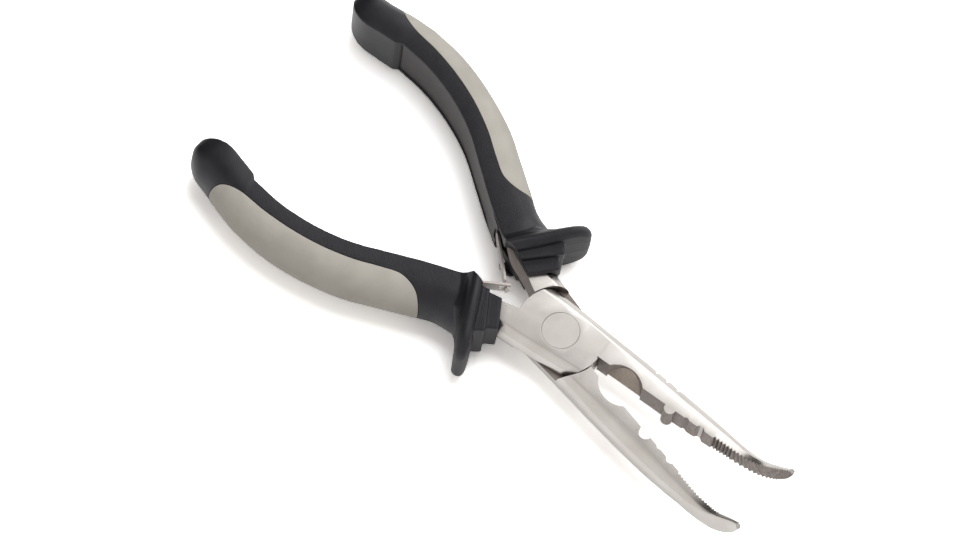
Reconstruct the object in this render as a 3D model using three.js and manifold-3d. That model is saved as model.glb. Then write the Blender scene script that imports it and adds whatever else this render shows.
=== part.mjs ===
// Bent-nose fishing pliers: two lap-jointed forgings on one rivet, two-colour moulded grips
// with finger guards, and a pair of interlocking leaf springs that hold the handles apart.
//
// Units are millimetres. Each half is drawn in the closed pose: the pivot is at the origin, the
// jaws point along +X and meet on the plane y = 0, and +Z is the side the nose bends towards.
// The half drawn here has its jaw on +Y and its handle on -Y; the other half is its mirror image.

import * as THREE from "three";
import { mergeVertices } from "three/addons/utils/BufferGeometryUtils.js";
import Module from "manifold-3d";

const wasm = await Module();
wasm.setup();

// ---------------------------------------------------------------- driving dimensions

const JOINT_T = 8; // thickness of the joint, the jaws' roots and the visible tangs
const HALF_T = JOINT_T / 2;
const REST_OPEN_DEG = 15.2; // angle between the jaws when the springs are at rest
const SEAM_GAP = 0.3; // gap left between parts that are moulded or pressed on each other

const HEAD_R = 11.3; // radius of the lap joint's round shoulders
const HEAD_HALF_W = 8.5; // at the pivot
const HEAD_TAPER = 0.09; // each side of the head draws in by this much per millimetre towards the jaws
const LAP_GAP = 0.2;
const SHOULDER_GAP = 0.25;
const RIVET_R = 2.6;
const RIVET_FACE_R = 4.65;
const RIVET_FACE_T = 1.2;
const RIVET_GAP = 0.12;

const BEVEL = 1.6; // width of the long bevel on the outer edges of head and jaws
const BEVEL_DROP = 2.6;

// The jaw's top edge: straight to BEND_X, then an arc upwards, then straight to the tip.
const BEND_X = 50.5;
const BEND_R = 12.5;
const BEND_DEG = 52;
// [distance along the top edge from the pivot, width, thickness below the top edge]
const JAW_TAPER = [
  [4, 8.2, 8.0],
  [11, 7.7, 8.0],
  [21, 7.2, 8.0],
  [30, 6.4, 7.9],
  [38, 5.6, 7.7],
  [46, 4.6, 6.9],
  [50.5, 3.9, 6.2],
  [56, 3.0, 5.7],
  [61.8, 2.3, 4.4],
  [66, 1.8, 3.4],
  [70, 1.5, 1.5],
];
const BITE_GAP = 0.05; // each closed jaw face stops this far from the meeting plane
const TOOTH_PITCH = 0.95;
const TOOTH_DEPTH = 0.38;
const TEETH_FROM = 45;

const CUTTER_X = 19.45; // the round relief beside the joint
const CUTTER_R = 6.3;
const CUTTER_DEPTH = 2.3;
// The front jaw's relief has a floor that climbs steeply from the cutting edge to its far side.
const FLOOR_LOW = -2.1;
const FLOOR_HIGH = 3.2;
const BLADE_RELIEF = 1.2; // width of the bevel under the cutting edge
const CRIMP_PIN = { x: 32.5, r: 1.5, clearance: 0.3 };
const CRIMP_SLOTS = [
  { x: 37.3, r: 0.75, depth: 0.4 },
  { x: 41.4, r: 1.2, depth: 0.7 },
];
const BACK_NOTCHES = { xs: [24.4, 27.7, 31.1], width: 0.85, depth: 1.2 };

// The tang: [inner edge x, y, outer edge x, y, half thickness]
const TANG = [
  [-4, -0.8, -4, -8.8, 4.0],
  [-11.3, -1.3, -10.4, -9.1, 4.0],
  [-15.5, -2.4, -14.8, -9.2, 4.0],
  [-19, -3.05, -18.2, -9.4, 4.0],
  [-22.8, -3.75, -21.5, -9.6, 4.0],
  [-26, -5.1, -25.5, -10.2, 3.7],
  [-34.5, -10.1, -35.6, -13.2, 2.8],
  [-46, -12.9, -47.2, -15.9, 2.8],
  [-60, -17.3, -60.6, -20.3, 2.8],
  [-78, -17.6, -78, -20.6, 2.6],
];
const TANG_END_HALF_T = 2.8; // the tang is this thin, and no longer chamfered, inside the grip

// The grip's outline from the butt to the guard: [inner x, y, outer x, y, half thickness]
const BUTT = [
  [-98.5, -15.2, -98.4, -17.1, 4.6],
  [-97.7, -13.3, -97.5, -18.8, 6.2],
  [-95.3, -11.7, -94.9, -20.8, 7.4],
  [-91.5, -11.3, -91.4, -21.9, 8.2],
  [-86.5, -12.7, -85.5, -24.0, 8.8],
  [-82.2, -14.0, -80.2, -25.5, 9.0],
];
const HANDLE = [
  [-81.0, -15.2, -79.0, -25.7, 9.0],
  [-72, -16.3, -71, -26.6, 9.2],
  [-62, -15.8, -64, -26.5, 9.2],
  [-53, -13.8, -56.5, -25.6, 8.9],
  [-44, -10.1, -48.5, -23.9, 8.4],
  [-36, -6.7, -40.2, -20.7, 8.0],
  [-29.5, -4.3, -33, -17.8, 7.7],
  [-26, -3.0, -27, -15.4, 7.5],
  [-23.2, -2.2, -20.5, -14.9, 7.4],
];

// The finger guard and the two stepped bands in front of it run across the handle at this angle.
const GUARD_DEG = -64.9;
const GUARD_OFFSET = -22.3; // distance of the guard's crest line from the pivot
const GUARD_FROM = -8.4; // along the crest line, measured from the pivot's foot on it
const GUARD_TIP = 13.4;
const GUARD_HALF_W = 2.3;
const GUARD_HALF_H = 10.5;
const GUARD_ROUND = 6; // radius of its upper and lower corners at the tip
const GUARD_SLIM = 0.22; // share of its width that it loses towards the tip
const GUARD_FLANK = 3.4; // how far the guard's back spreads onto the handle
// [front edge's offset at the inner end and at the outer end, reach of the outer end at its front
// and at its back, half thickness]
const BANDS = [
  [-18.7, -17.75, 5.3, 6.1, 7.6],
  [-15.45, -14.75, 3.6, 4.3, 5.7],
];
const BAND_FROM = -9; // the bands start here along the guard's direction, and are then trimmed
const BAND_LENGTH = 10;
// In front of the core the grip is trimmed flush with the tang's inner edge, up to the height LIP_Z.
// Above LIP_Z its lip reaches on to the guard, and above FLUSH_HALF_H only the guard's crest is left.
const FLUSH_EDGE = [
  [-21.9, -3.58],
  [-19, -3.05],
  [-15.5, -2.4],
  [-10, -1.3],
  [-10, 6],
];
const FLUSH_HALF_H = 8.6;
const LIP_Z = 5.2;
const BELOW_LIP = [[-29.4, 6], [-29.4, -3.9], [-29, -4.6], [-26.4, -4.45], ...FLUSH_EDGE];
const ABOVE_LIP = [[-24.6, 6], [-24.6, -2.4], [-23.8, -3.25], ...FLUSH_EDGE];
const CREST_EDGE = [[-26.6, 6], [-26.6, -1.5], [-24.1, -2.6], [-21.1, -3.15], [-10, -1.3], [-10, 6]];

const CORE_FRONT_X = -29.2; // the hard core runs from the grip's step forward to here
const OPENING_FROM_X = -30.5; // the tang's inner face is bare from here forwards
const CORE_DEPTH = 6; // how deep it reaches from the handle's inner face
const CORE_TAPER = 0.2; // share of its height that it loses over that depth
const CORE_LIP = 1.7; // height of soft grip that covers the core above and below
const INLAY_T = 1.4;
const OVER_GRIP = 14; // a height that clears the whole grip
// Plan outline of the soft inlay's boundary on the grip, from its back end to its front end.
const INLAY_EDGE = [
  [-90.3, -26.5],
  [-89.5, -23.6],
  [-87.2, -21.0],
  [-82.5, -19.9],
  [-74, -20.5],
  [-66, -20.4],
  [-58, -19.4],
  [-50, -17.3],
  [-43.5, -14.7],
  [-38.5, -13.1],
  [-34, -13.9],
  [-31.2, -15.8],
  [-28.8, -18.6],
];

// Each leaf is rolled into an eye round a pin in the core, and leaves the grip at a slant.
const PIN_AT = [-34.03, -8.37];
const PIN_R = 0.55;
const PIN_HALF_L = 4.6;
const EYE_R = 0.65;
const LEAF_T = 0.6;
const LEAF_HALF_H = 2.1;
const LEAF_DEG = 30.66; // the leaf's direction at rest, from the closed handle's X axis
const LEAF_REACH = 19.46; // from its eye to the point where the two leaves cross
const SLOT_HALF_H = 1.05; // the slot in the fork leaf
const TONGUE_HALF_H = 0.75; // the narrow end of the other leaf, which lies in that slot
const LEAF_ROOM = 0.3; // clearance round the eye and beside the leaf in the core
const LEAF_SWING = 1; // extra room under the leaf for its swing
const POCKET_LENGTH = 12;

// ---------------------------------------------------------------- materials

const steel = new THREE.MeshStandardMaterial({ color: 0xcfcac5, roughness: 0.28, metalness: 1 });
const springSteel = new THREE.MeshStandardMaterial({ color: 0x9a938d, roughness: 0.35, metalness: 1 });
const blackGrip = new THREE.MeshStandardMaterial({ color: 0x2b2c30, roughness: 0.62, metalness: 0 });
const blackCore = new THREE.MeshStandardMaterial({ color: 0x242224, roughness: 0.45, metalness: 0 });
const greyInlay = new THREE.MeshStandardMaterial({ color: 0xaaa79c, roughness: 0.7, metalness: 0 });

// ---------------------------------------------------------------- solids

const radians = THREE.MathUtils.degToRad;

// A closed three.js geometry as a manifold-3d solid, turned to face outwards.
function solid(geometry) {
  const bare = geometry.index ? geometry.toNonIndexed() : geometry.clone();
  bare.deleteAttribute("normal");
  bare.deleteAttribute("uv");
  const merged = mergeVertices(bare, 1e-4);
  const triVerts = new Uint32Array(merged.index.array);
  const vertProperties = merged.attributes.position.array;
  const made = new wasm.Manifold(new wasm.Mesh({ numProp: 3, vertProperties, triVerts }));
  if (made.volume() > 0) return made;
  for (let i = 0; i < triVerts.length; i += 3) {
    [triVerts[i + 1], triVerts[i + 2]] = [triVerts[i + 2], triVerts[i + 1]];
  }
  return new wasm.Manifold(new wasm.Mesh({ numProp: 3, vertProperties, triVerts }));
}

// A skin over a row of loops that all have the same number of points, closed by a flat cap at each end.
function loft(loops) {
  const points = loops.flat();
  const size = loops[0].length;
  const index = [];
  for (let i = 0; i + 1 < loops.length; i++) {
    for (let j = 0; j < size; j++) {
      const a = i * size + j;
      const b = i * size + ((j + 1) % size);
      index.push(a, b, b + size, a, b + size, a + size);
    }
  }
  const last = (loops.length - 1) * size;
  for (let j = 1; j + 1 < size; j++) {
    index.push(0, j + 1, j);
    index.push(last, last + j, last + j + 1);
  }
  const geometry = new THREE.BufferGeometry().setFromPoints(points);
  geometry.setIndex(index);
  return solid(geometry);
}

// A flat outline pushed from height z0 to height z1.
function plate(outline, z0, z1) {
  const shape = new THREE.Shape(outline.map(([x, y]) => new THREE.Vector2(x, y)));
  const geometry = new THREE.ExtrudeGeometry(shape, { depth: z1 - z0, bevelEnabled: false });
  geometry.translate(0, 0, z0);
  return solid(geometry);
}

// A round bar parallel to Z.
function bar(x, y, r, z0, z1, sides = 48) {
  const geometry = new THREE.CylinderGeometry(r, r, z1 - z0, sides);
  geometry.rotateX(Math.PI / 2);
  geometry.translate(x, y, (z0 + z1) / 2);
  return solid(geometry);
}

function mesh(name, shape, material) {
  const { numProp, vertProperties, triVerts } = shape.getMesh();
  if (numProp !== 3) throw new Error("solids carry positions only");
  const geometry = new THREE.BufferGeometry();
  geometry.setAttribute("position", new THREE.BufferAttribute(new Float32Array(vertProperties), 3));
  geometry.setIndex(new THREE.BufferAttribute(new Uint32Array(triVerts), 1));
  geometry.computeVertexNormals();
  const made = new THREE.Mesh(geometry, material);
  made.name = name;
  return made;
}

// Reads a table [[position, a, b, ...], ...] at one position, by straight lines between its rows.
function lookUp(table, position) {
  const next = table.findIndex((row) => row[0] >= position);
  if (next <= 0) return (next ? table.at(-1) : table[0]).slice(1);
  const [low, high] = [table[next - 1], table[next]];
  const share = (position - low[0]) / (high[0] - low[0]);
  return low.slice(1).map((v, i) => v + share * (high[i + 1] - v));
}

// Smooth stations through rows of [inner x, y, outer x, y, half thickness].
function stations(rows, steps) {
  const inner = new THREE.CatmullRomCurve3(rows.map((r) => new THREE.Vector3(r[0], r[1], r[4])));
  const outer = new THREE.CatmullRomCurve3(rows.map((r) => new THREE.Vector3(r[2], r[3], r[4])));
  const found = [];
  for (let i = 0; i <= steps; i++) {
    const [p, q] = [inner.getPoint(i / steps), outer.getPoint(i / steps)];
    found.push({ p: new THREE.Vector2(p.x, p.y), q: new THREE.Vector2(q.x, q.y), h: p.z });
  }
  return found;
}

// ---------------------------------------------------------------- forgings

// Where the jaw's top edge is at a distance along it, and which way is up from it.
function jawFrame(s) {
  const arc = THREE.MathUtils.clamp(s - BEND_X, 0, BEND_R * radians(BEND_DEG));
  const angle = arc / BEND_R;
  const straight = s - arc - Math.min(s, BEND_X);
  const x = Math.min(s, BEND_X) + BEND_R * Math.sin(angle) + straight * Math.cos(angle);
  const z = HALF_T + BEND_R * (1 - Math.cos(angle)) + straight * Math.sin(angle);
  return { x, z, upX: -Math.sin(angle), upZ: Math.cos(angle) };
}

function jawLoop(s, biteY) {
  const [width, thickness] = lookUp(JAW_TAPER, s);
  const { x, z, upX, upZ } = jawFrame(s);
  const side = Math.min(BEVEL, width * 0.35);
  const drop = Math.min(BEVEL_DROP, thickness * 0.33);
  const section = [
    [biteY, -thickness],
    [width - side, -thickness],
    [width, drop - thickness],
    [width, -drop],
    [width - side, 0],
    [biteY, 0],
  ];
  return section.map(([y, t]) => new THREE.Vector3(x + upX * t, y, z + upZ * t));
}

function jaw() {
  const end = JAW_TAPER.at(-1)[0];
  const loops = [2, 8, 14, 21, 30, 38, TEETH_FROM].map((s) => jawLoop(s, BITE_GAP));
  const teeth = Math.floor((end - TEETH_FROM) / TOOTH_PITCH);
  for (let i = 0; i < teeth; i++) {
    const start = TEETH_FROM + i * TOOTH_PITCH;
    loops.push(jawLoop(start + TOOTH_PITCH / 2, BITE_GAP + TOOTH_DEPTH));
    loops.push(jawLoop(start + TOOTH_PITCH, BITE_GAP));
  }
  loops.push(jawLoop(end, BITE_GAP));
  return loft(loops);
}

// The head's round is cut from a bar whose bevelled sides draw in towards the jaws.
function head() {
  const h = HALF_T;
  const ends = [-HEAD_R - 1, HEAD_R + 1];
  const slab = loft(
    ends.map((x) => {
      const w = HEAD_HALF_W - HEAD_TAPER * x;
      const section = [
        [-w, BEVEL_DROP - h],
        [BEVEL - w, -h],
        [w - BEVEL, -h],
        [w, BEVEL_DROP - h],
        [w, h - BEVEL_DROP],
        [w - BEVEL, h],
        [BEVEL - w, h],
        [-w, h - BEVEL_DROP],
      ];
      return section.map(([y, z]) => new THREE.Vector3(x, y, z));
    }),
  );
  return slab.intersect(bar(0, 0, HEAD_R, -HALF_T, HALF_T, 72));
}

// The tang, or with a clearance the room that it needs.
function tang(clearance = 0) {
  const rows = stations(TANG, 20);
  return loft(
    rows.map(({ p, q, h }, i) => {
      const grow = q.clone().sub(p).normalize().multiplyScalar(clearance);
      const end = i === rows.length - 1 ? -clearance : 0;
      const [a, b, t] = [p.clone().sub(grow), q.clone().add(grow), h + clearance];
      const chamfer = Math.max(0.3, Math.min(BEVEL, (h - TANG_END_HALF_T) * 1.4));
      const lean = ((a.x - b.x) * chamfer) / (JOINT_T + 1);
      return [
        [a.x + end, a.y, -t],
        [b.x + lean + end, b.y + chamfer, -t],
        [b.x + end, b.y, chamfer - t],
        [b.x + end, b.y, t - chamfer],
        [b.x + lean + end, b.y + chamfer, t],
        [a.x + end, a.y, t],
      ].map((v) => new THREE.Vector3(...v));
    }),
  );
}

// The round relief's circle is centred beyond the meeting plane, so that only its cap bites into the jaw.
function cutterRelief(z0, z1) {
  return bar(CUTTER_X, CUTTER_DEPTH - CUTTER_R, CUTTER_R, z0, z1, 64);
}

// lap is +1 for the half whose joint lies on top, and -1 for the half that lies underneath.
function forging(lap) {
  const over = HALF_T + 1;
  let body = head().add(jaw()).add(tang());
  const [z0, z1] = lap > 0 ? [-over, LAP_GAP / 2] : [-LAP_GAP / 2, over];
  body = body.subtract(bar(0, 0, HEAD_R + SHOULDER_GAP, z0, z1, 96));

  body = body.subtract(bar(0, 0, RIVET_R + RIVET_GAP, -over, over));
  const face = [HALF_T - RIVET_FACE_T - RIVET_GAP, over];
  const [f0, f1] = lap > 0 ? face : [-face[1], -face[0]];
  body = body.subtract(bar(0, 0, RIVET_FACE_R + RIVET_GAP, f0, f1, 64));

  const { x, r, clearance } = CRIMP_PIN;
  if (lap > 0) {
    body = body.subtract(cutterRelief(-over, over).intersect(aboveFloor()));
    body = body.subtract(bladeBevel());
    const pin = bar(x, -0.1, r, -HALF_T + 0.1, HALF_T - 0.1, 32);
    body = body.add(pin);
    for (const nx of BACK_NOTCHES.xs) body = body.subtract(backNotch(nx));
  } else {
    body = body.subtract(cutterRelief(-over, over));
    body = body.subtract(bar(x, 0, r + clearance, -over, over, 32));
  }
  for (const slot of CRIMP_SLOTS) {
    body = body.subtract(bar(slot.x, slot.depth - slot.r, slot.r, -over, over, 24));
  }
  return body;
}

// A prism along the joint over the length of the round relief, from its section in y and z.
function alongRelief(section) {
  const chord = Math.sqrt(CUTTER_R ** 2 - (CUTTER_R - CUTTER_DEPTH) ** 2);
  const ends = [CUTTER_X - chord, CUTTER_X + chord];
  return loft(ends.map((x) => section.map(([y, z]) => new THREE.Vector3(x, y, z))));
}

// The room above the relief's sloping floor.
function aboveFloor() {
  const climb = (FLOOR_HIGH - FLOOR_LOW) / CUTTER_DEPTH;
  return alongRelief([
    [-1, FLOOR_LOW - climb],
    [CUTTER_DEPTH + 1, FLOOR_HIGH + climb],
    [-1, FLOOR_HIGH + climb],
  ]);
}

// Relieves the underside of the cutting ledge, so that its upper edge is the one that cuts.
function bladeBevel() {
  const low = -HALF_T - 0.5;
  return alongRelief([
    [-1, FLOOR_LOW - BITE_GAP],
    [BITE_GAP, FLOOR_LOW - BITE_GAP],
    [BLADE_RELIEF, low],
    [-1, low],
  ]);
}

// A small slot across the jaw's outer edge.
function backNotch(x) {
  const [width] = lookUp(JAW_TAPER, x);
  const { depth } = BACK_NOTCHES;
  const half = BACK_NOTCHES.width / 2;
  const outline = [
    [x - half, width - depth],
    [x + half, width - depth],
    [x + half, width + 1],
    [x - half, width + 1],
  ];
  return plate(outline, -HALF_T - 1, HALF_T + 1);
}

function pivotRivet() {
  const shank = bar(0, 0, RIVET_R, 0.1 - HALF_T, HALF_T - 0.1);
  const front = bar(0, 0, RIVET_FACE_R, HALF_T - RIVET_FACE_T, HALF_T);
  const back = bar(0, 0, RIVET_FACE_R, -HALF_T, RIVET_FACE_T - HALF_T);
  return shank.add(front).add(back);
}

// ---------------------------------------------------------------- leaf springs

// Moves a solid's geometry from the leaf's own axes to its place on the handle: x runs from the pin
// along the leaf, and y points out of the grip.
function onLeaf(geometry) {
  geometry.rotateZ(radians(LEAF_DEG));
  geometry.translate(PIN_AT[0], PIN_AT[1], 0);
  return solid(geometry);
}

// A box given by its limits in the leaf's own axes.
function leafBox([x0, x1], [y0, y1], [z0, z1]) {
  const geometry = new THREE.BoxGeometry(x1 - x0, y1 - y0, z1 - z0);
  geometry.translate((x0 + x1) / 2, (y0 + y1) / 2, (z0 + z1) / 2);
  return onLeaf(geometry);
}

// The fork leaf has a slot at its end; the tongue leaf is narrowed at its end and lies in the slot.
function leaf(kind) {
  const outer = EYE_R + LEAF_T;
  const [curlFrom, curlTo] = [Math.PI / 2, radians(330)];
  const tip = LEAF_REACH + 1.2;
  const strip = new THREE.Shape();
  strip.moveTo(tip, outer);
  strip.lineTo(0, outer);
  strip.absarc(0, 0, outer, curlFrom, curlTo, false);
  strip.absarc(0, 0, EYE_R, curlTo, curlFrom, true);
  strip.lineTo(tip, EYE_R);
  const depth = 2 * LEAF_HALF_H;
  const geometry = new THREE.ExtrudeGeometry(strip, { depth, bevelEnabled: false, curveSegments: 14 });
  geometry.translate(0, 0, -LEAF_HALF_H);
  const blank = onLeaf(geometry);
  const through = [EYE_R - 1, outer + 1];
  if (kind === "fork") {
    return blank.subtract(leafBox([LEAF_REACH - 1.5, tip + 1], through, [-SLOT_HALF_H, SLOT_HALF_H]));
  }
  const shoulder = [LEAF_REACH - 1.1, tip + 1];
  return blank
    .subtract(leafBox(shoulder, through, [TONGUE_HALF_H, LEAF_HALF_H + 1]))
    .subtract(leafBox(shoulder, through, [-LEAF_HALF_H - 1, -TONGUE_HALF_H]));
}

function springPin(clearance = 0) {
  const halfL = PIN_HALF_L + clearance;
  return bar(PIN_AT[0], PIN_AT[1], PIN_R + clearance, -halfL, halfL, 24);
}

// The room in the core for the eye, the leaf and the leaf's swing. It opens where it meets the core's face.
function leafPocket() {
  const h = LEAF_HALF_H + LEAF_ROOM;
  const top = EYE_R + LEAF_T + LEAF_ROOM;
  const eye = bar(PIN_AT[0], PIN_AT[1], top, -h, h, 32);
  return eye.add(leafBox([0, POCKET_LENGTH], [-LEAF_SWING, top], [-h, h]));
}

// ---------------------------------------------------------------- grips

// Half of a D-shaped section: share across from the inner face, share of the half thickness.
const D_PROFILE = [0, 0.16, 0.42, 0.62, 0.78, 0.9, 0.97, 1].map((u) => {
  const crown = 0.42;
  if (u < crown) return [u, 1 - 0.07 * ((crown - u) / crown) ** 2];
  const out = (u - crown) / (1 - crown);
  return [u, Math.sqrt(Math.max(0, 1 - out ** 2.3))];
});

function dLoop({ p, q, h }, inset) {
  const across = q.clone().sub(p);
  const step = across.clone().normalize().multiplyScalar(inset);
  const [a, b] = [p.clone().add(step), q.clone().sub(step)];
  const top = D_PROFILE.map(([u, t]) => {
    const at = a.clone().lerp(b, u);
    return new THREE.Vector3(at.x, at.y, t * (h - inset));
  });
  const bottom = top.slice(0, -1).reverse();
  return [...top, ...bottom.map((v) => new THREE.Vector3(v.x, v.y, -v.z))];
}

function handle(inset = 0) {
  const rows = [...stations(BUTT, 7), ...stations(HANDLE, 16)];
  return loft(rows.map((row) => dLoop(row, inset)));
}

const guardTurn = radians(GUARD_DEG);
const guardAlong = new THREE.Vector2(Math.cos(guardTurn), Math.sin(guardTurn));
const guardAcross = new THREE.Vector2(-guardAlong.y, guardAlong.x);

// A point given along and across the guard's direction.
function guardPoint(u, n, z) {
  const at = guardAlong.clone().multiplyScalar(u).addScaledVector(guardAcross, n);
  return new THREE.Vector3(at.x, at.y, z);
}

// How much of a rounded end's size is left, from 1 to 0, at this distance from its tip.
function fall(radius, left) {
  return Math.sqrt(Math.max(0, 1 - (1 - Math.min(left / radius, 1)) ** 2));
}

// A section of the finger guard: a rounded crest, a drafted front and a back that spreads onto the handle.
function guardLoop(u, left) {
  const slim = 1 - GUARD_SLIM * THREE.MathUtils.clamp(u / GUARD_TIP, 0, 1);
  const full = GUARD_HALF_W * slim;
  const w = Math.max(0.25, full * fall(full, left));
  const h = GUARD_HALF_H - GUARD_ROUND * (1 - fall(GUARD_ROUND, left));
  const share = h / GUARD_HALF_H;
  const spread = GUARD_FLANK * (1 - THREE.MathUtils.clamp((u - 0.5) / 6, 0, 1)) ** 1.5;
  const side = [
    [w, 0],
    [w * 0.72, h - 1.5 * share],
    [w * 0.42, h - 0.4 * share],
    [0, h],
    [-w * 0.42, h - 0.35 * share],
    [-w * 0.75, h - 1.2 * share],
    [-w * 0.94 - spread * 0.4, h - 3.1 * share],
    [-w - spread, h - 3.8 * share],
  ];
  const mirrored = side.slice(1).reverse();
  const loop = [...side, ...mirrored.map(([n, z]) => [n, -z])];
  return loop.map(([n, z]) => guardPoint(u, GUARD_OFFSET + n, z));
}

function guard() {
  const length = GUARD_TIP - GUARD_FROM;
  const straight = [0, 0.2, 0.4, 0.6, 0.8].map((share) => length - (length - GUARD_ROUND) * share);
  const turns = [0, 1, 2, 3, 4, 5, 6].map((i) => GUARD_ROUND * (1 - Math.sin((i / 6) * (Math.PI / 2))));
  return loft([...straight, ...turns].map((left) => guardLoop(GUARD_TIP - left, left)));
}

// A step in front of the guard with a square outer end.
function band([frontIn, frontOut, reachFront, reachBack, halfHeight]) {
  const lean = (frontOut - frontIn) / BAND_LENGTH;
  const outline = [
    [BAND_FROM, GUARD_OFFSET],
    [BAND_FROM, frontIn - 3 * lean],
    [reachFront, frontOut],
    [reachBack, GUARD_OFFSET],
  ];
  return loft([-halfHeight, halfHeight].map((z) => outline.map(([u, n]) => guardPoint(u, n, z))));
}

// The whole grip's outside, before it is hollowed.
function gripBody() {
  let body = handle().add(guard());
  for (const row of BANDS) body = body.add(band(row));
  const overlap = 0.1;
  return body
    .subtract(plate(BELOW_LIP, -FLUSH_HALF_H, LIP_Z))
    .subtract(plate(ABOVE_LIP, LIP_Z - overlap, FLUSH_HALF_H))
    .subtract(plate(CREST_EDGE, -OVER_GRIP, OVER_GRIP));
}

// The hard core: a bar flush with the handle's inner face, or with a clearance the room that it needs.
function coreBar(clearance = 0) {
  const rows = stations(HANDLE, 16).filter(({ p }) => p.x < CORE_FRONT_X);
  const extend = (end, inward) => end.clone().sub(inward).normalize().multiplyScalar(clearance);
  const shifts = new Map([
    [0, extend(rows[0].p, rows[1].p)],
    [rows.length - 1, extend(rows.at(-1).p, rows.at(-2).p)],
  ]);
  return loft(
    rows.map(({ p, q, h }, i) => {
      const shift = shifts.get(i) ?? new THREE.Vector2();
      const dir = q.clone().sub(p).normalize();
      const depths = [clearance ? -2 : 0.05, CORE_DEPTH + clearance];
      const [a, b] = depths.map((depth) => p.clone().addScaledVector(dir, depth).add(shift));
      const slope = CORE_TAPER / CORE_DEPTH;
      const [ta, tb] = depths.map((depth) => (h - CORE_LIP) * (1 - slope * depth) + clearance);
      return [
        [a, -ta],
        [b, -tb],
        [b, tb],
        [a, ta],
      ].map(([v, z]) => new THREE.Vector3(v.x, v.y, z));
    }),
  );
}

function gripCore() {
  return coreBar().subtract(tang(SEAM_GAP)).subtract(leafPocket()).subtract(springPin(SEAM_GAP));
}

function inlayPrism(clearance) {
  const edge = new THREE.SplineCurve(INLAY_EDGE.map(([x, y]) => new THREE.Vector2(x, y)));
  const steps = 26;
  const points = edge.getPoints(steps).map((v, i) => {
    const t = edge.getTangent(i / steps);
    return [v.x - t.y * clearance, v.y + t.x * clearance];
  });
  return plate([...points, [-26, -40], [-91, -40]], -OVER_GRIP, OVER_GRIP);
}

// In front of the core the tang's inner face is bare, so the sleeve is open on that side.
function tangOpening() {
  const rows = stations(TANG, 20).filter(({ p }) => p.x > OPENING_FROM_X);
  return loft(
    rows.map(({ p, q }) => {
      const dir = q.clone().sub(p).normalize();
      const [a, b] = [p.clone().addScaledVector(dir, -5), q.clone().addScaledVector(dir, -1.5)];
      const t = HALF_T + SEAM_GAP;
      return [
        [a, -t],
        [b, -t],
        [b, t],
        [a, t],
      ].map(([v, z]) => new THREE.Vector3(v.x, v.y, z));
    }),
  );
}

function gripSleeve() {
  const pocket = inlayPrism(SEAM_GAP).subtract(handle(INLAY_T + SEAM_GAP));
  return gripBody()
    .subtract(pocket)
    .subtract(coreBar(SEAM_GAP))
    .subtract(leafPocket())
    .subtract(tang(SEAM_GAP))
    .subtract(tangOpening());
}

function gripInlay() {
  return handle().intersect(inlayPrism(0)).subtract(handle(INLAY_T));
}

// ---------------------------------------------------------------- assembly

function half(name, lap, springKind) {
  const group = new THREE.Group();
  group.add(
    mesh(`jaw_${name}`, forging(lap), steel),
    mesh(`grip_core_${name}`, gripCore(), blackCore),
    mesh(`grip_sleeve_${name}`, gripSleeve(), blackGrip),
    mesh(`grip_inlay_${name}`, gripInlay(), greyInlay),
    mesh(`leaf_spring_${name}`, leaf(springKind), springSteel),
    mesh(`spring_pin_${name}`, springPin(), springSteel),
  );
  return group;
}

const front = half("front", 1, "fork");
front.add(mesh("pivot_rivet", pivotRivet(), steel));
front.rotation.z = radians(REST_OPEN_DEG / 2);

const back = half("back", -1, "tongue");
back.scale.y = -1;
back.rotation.z = -radians(REST_OPEN_DEG / 2);

// The part's origin is on the pivot axis, on the flat back face of the joint.
const pliers = new THREE.Group();
pliers.add(front, back);
front.position.z = HALF_T;
back.position.z = HALF_T;

export default pliers;
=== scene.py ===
"""Fine surfaces, materials, light and camera for the bent-nose fishing pliers.

Each half is modelled in its own closed pose in millimetres, as a half whose jaw is on +Y:
the pivot at the origin, jaws along +X meeting on y = 0, +Z the side the nose bends towards.
place() turns it into the row frame, mirrored for the back half.
"""

import math

import bmesh
import bpy
import numpy as np
from mathutils import Matrix, Vector

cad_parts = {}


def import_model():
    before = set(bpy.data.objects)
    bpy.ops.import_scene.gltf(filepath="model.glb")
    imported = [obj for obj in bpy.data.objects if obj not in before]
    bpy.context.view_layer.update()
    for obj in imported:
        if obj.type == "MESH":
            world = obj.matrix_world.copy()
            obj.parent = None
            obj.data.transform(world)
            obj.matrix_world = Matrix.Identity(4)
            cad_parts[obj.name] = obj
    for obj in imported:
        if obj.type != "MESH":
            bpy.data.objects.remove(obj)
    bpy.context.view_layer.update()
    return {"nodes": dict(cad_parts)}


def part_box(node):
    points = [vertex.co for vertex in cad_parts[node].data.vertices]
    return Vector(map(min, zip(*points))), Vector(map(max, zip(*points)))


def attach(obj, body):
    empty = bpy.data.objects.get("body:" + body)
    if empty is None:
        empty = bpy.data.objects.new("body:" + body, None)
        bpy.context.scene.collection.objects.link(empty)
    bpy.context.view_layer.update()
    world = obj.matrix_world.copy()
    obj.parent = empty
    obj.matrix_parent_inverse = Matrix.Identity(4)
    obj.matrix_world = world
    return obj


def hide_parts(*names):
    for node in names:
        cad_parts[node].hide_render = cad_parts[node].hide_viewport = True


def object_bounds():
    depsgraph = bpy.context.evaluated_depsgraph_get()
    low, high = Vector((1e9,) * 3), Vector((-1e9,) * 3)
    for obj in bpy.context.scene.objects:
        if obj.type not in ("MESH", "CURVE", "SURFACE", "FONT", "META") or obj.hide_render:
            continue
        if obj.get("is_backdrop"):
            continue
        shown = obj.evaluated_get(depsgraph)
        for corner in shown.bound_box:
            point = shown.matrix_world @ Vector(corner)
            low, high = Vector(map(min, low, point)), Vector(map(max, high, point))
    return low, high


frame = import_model()

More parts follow.
